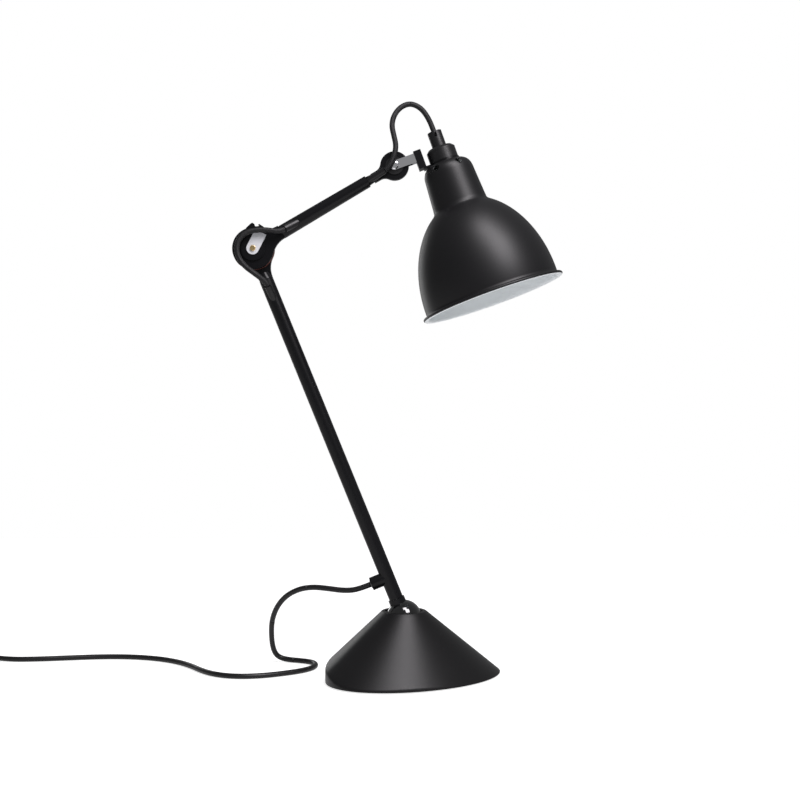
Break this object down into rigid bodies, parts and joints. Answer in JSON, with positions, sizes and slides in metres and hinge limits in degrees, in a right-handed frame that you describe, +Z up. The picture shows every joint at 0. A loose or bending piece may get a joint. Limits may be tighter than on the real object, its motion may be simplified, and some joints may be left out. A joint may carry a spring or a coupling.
{
  "type": "desk lamp",
  "caption": "Black articulated desk lamp: cone base with ball joint, leaning stem, friction elbow, short upper arm, swivelling bell shade and mains cord.",
  "frame": {"origin": "on the table plane, straight below the middle of the ball joint", "axes": "+Z up, +X towards the side the shade hangs on, +Y away from the viewer of the picture"},
  "size_m": [0.702, 0.1957, 0.5762],
  "materials": {
    "black_enamel": "satin black enamel",
    "gloss_black": "glossy black",
    "black_plastic": "matte black",
    "cable_black": "smooth black sheath",
    "rubber": "matte black",
    "steel": "zinc plated",
    "chrome": "polished",
    "satin_plate": "satin",
    "fibre": "red brown vulcanised fibre",
    "iron": "rough",
    "shade_enamel": "black outside and pale inside",
    "porcelain": "glazed off-white",
    "brass": "plain",
    "glass": "clear",
    "grey_bush": "pale grey"
  },
  "bodies": {
    "base": {"base_casting": "black_enamel", "bottom_cover": "steel", "rubber_pad": "rubber", "ballast_slab": "iron", "cover_screws": "steel", "lower_cup": "black_plastic", "disc_spring": "steel", "clamp_plug": "steel", "cord_rise": "cable_black", "cord_floor": "cable_black", "cord_coil": "cable_black", "cord_tail": "cable_black", "cord_tie": "black_plastic", "plug_relief": "black_plastic", "plug_body": "black_plastic", "plug_pins": "brass"},
    "seat": {"seat_ring": "black_enamel"},
    "ball": {"ball": "gloss_black", "ball_spigot": "steel", "ball_collar": "black_enamel"},
    "stem": {"stem_tube": "black_enamel", "stem_keeper_screw": "steel", "cord_boss": "black_enamel", "cord_bush": "grey_bush", "stem_top_fitting": "black_enamel", "stem_ferrule": "grey_bush", "stem_wire": "cable_black", "elbow_washer": "fibre"},
    "upper_arm": {"arm_elbow_fitting": "black_enamel", "upper_tube": "black_enamel", "arm_ferrule": "grey_bush", "arm_wire": "cable_black", "elbow_bolt": "black_enamel", "elbow_spring_washer": "steel", "elbow_nut": "steel", "blank_plate": "satin_plate", "plate_screw": "steel", "cable_clip": "black_enamel", "head_fitting": "black_enamel", "cable_sleeve": "black_plastic", "elbow_cable": "cable_black"},
    "head_strap": {"chrome_strap": "chrome", "pivot_screw": "chrome", "pivot_nut": "steel", "head_washer_front": "fibre", "head_washer_rear": "fibre"},
    "shade": {"shade_bracket": "black_enamel", "swivel_screw": "steel", "socket_cap": "black_plastic", "cord_grip": "black_plastic", "lampholder": "porcelain", "holder_ring_nut": "black_plastic", "centre_contact": "brass", "bulb_cap": "brass", "bulb_glass": "glass", "shade": "shade_enamel", "shade_upper": "shade_enamel", "shade_neck": "shade_enamel", "head_cable": "cable_black"}
  },
  "joints": [
    {"name": "base_swivel", "type": "hinge", "parent": "base", "child": "seat", "pos_m": [0, 0, 0.06], "axis": [0, 0, 1], "range_deg": [-170, 170]},
    {"name": "stem_tilt", "type": "hinge", "parent": "seat", "child": "ball", "pos_m": [0, 0, 0.06], "axis": [0, 1, 0], "range_deg": [-12, 56], "deforming": ["cord_rise"]},
    {"name": "stem_turn", "type": "hinge", "parent": "ball", "child": "stem", "pos_m": [0, 0, 0.06], "axis": [-0.3778, 0, 0.9259], "range_deg": [-90, 90]},
    {"name": "elbow", "type": "hinge", "parent": "stem", "child": "upper_arm", "pos_m": [-0.15038, 0, 0.4285], "axis": [0, 1, 0], "range_deg": [-75, 36], "deforming": ["elbow_cable"]},
    {"name": "head_tilt", "type": "hinge", "parent": "upper_arm", "child": "head_strap", "pos_m": [-0.00948, 0, 0.51183], "axis": [0, 1, 0], "range_deg": [-50, 35], "deforming": ["head_cable"]},
    {"name": "shade_swivel", "type": "hinge", "parent": "head_strap", "child": "shade", "pos_m": [-0.00948, 0.003, 0.51183], "axis": [0.9397, 0, 0.342], "range_deg": [-60, 60]}
  ]
}
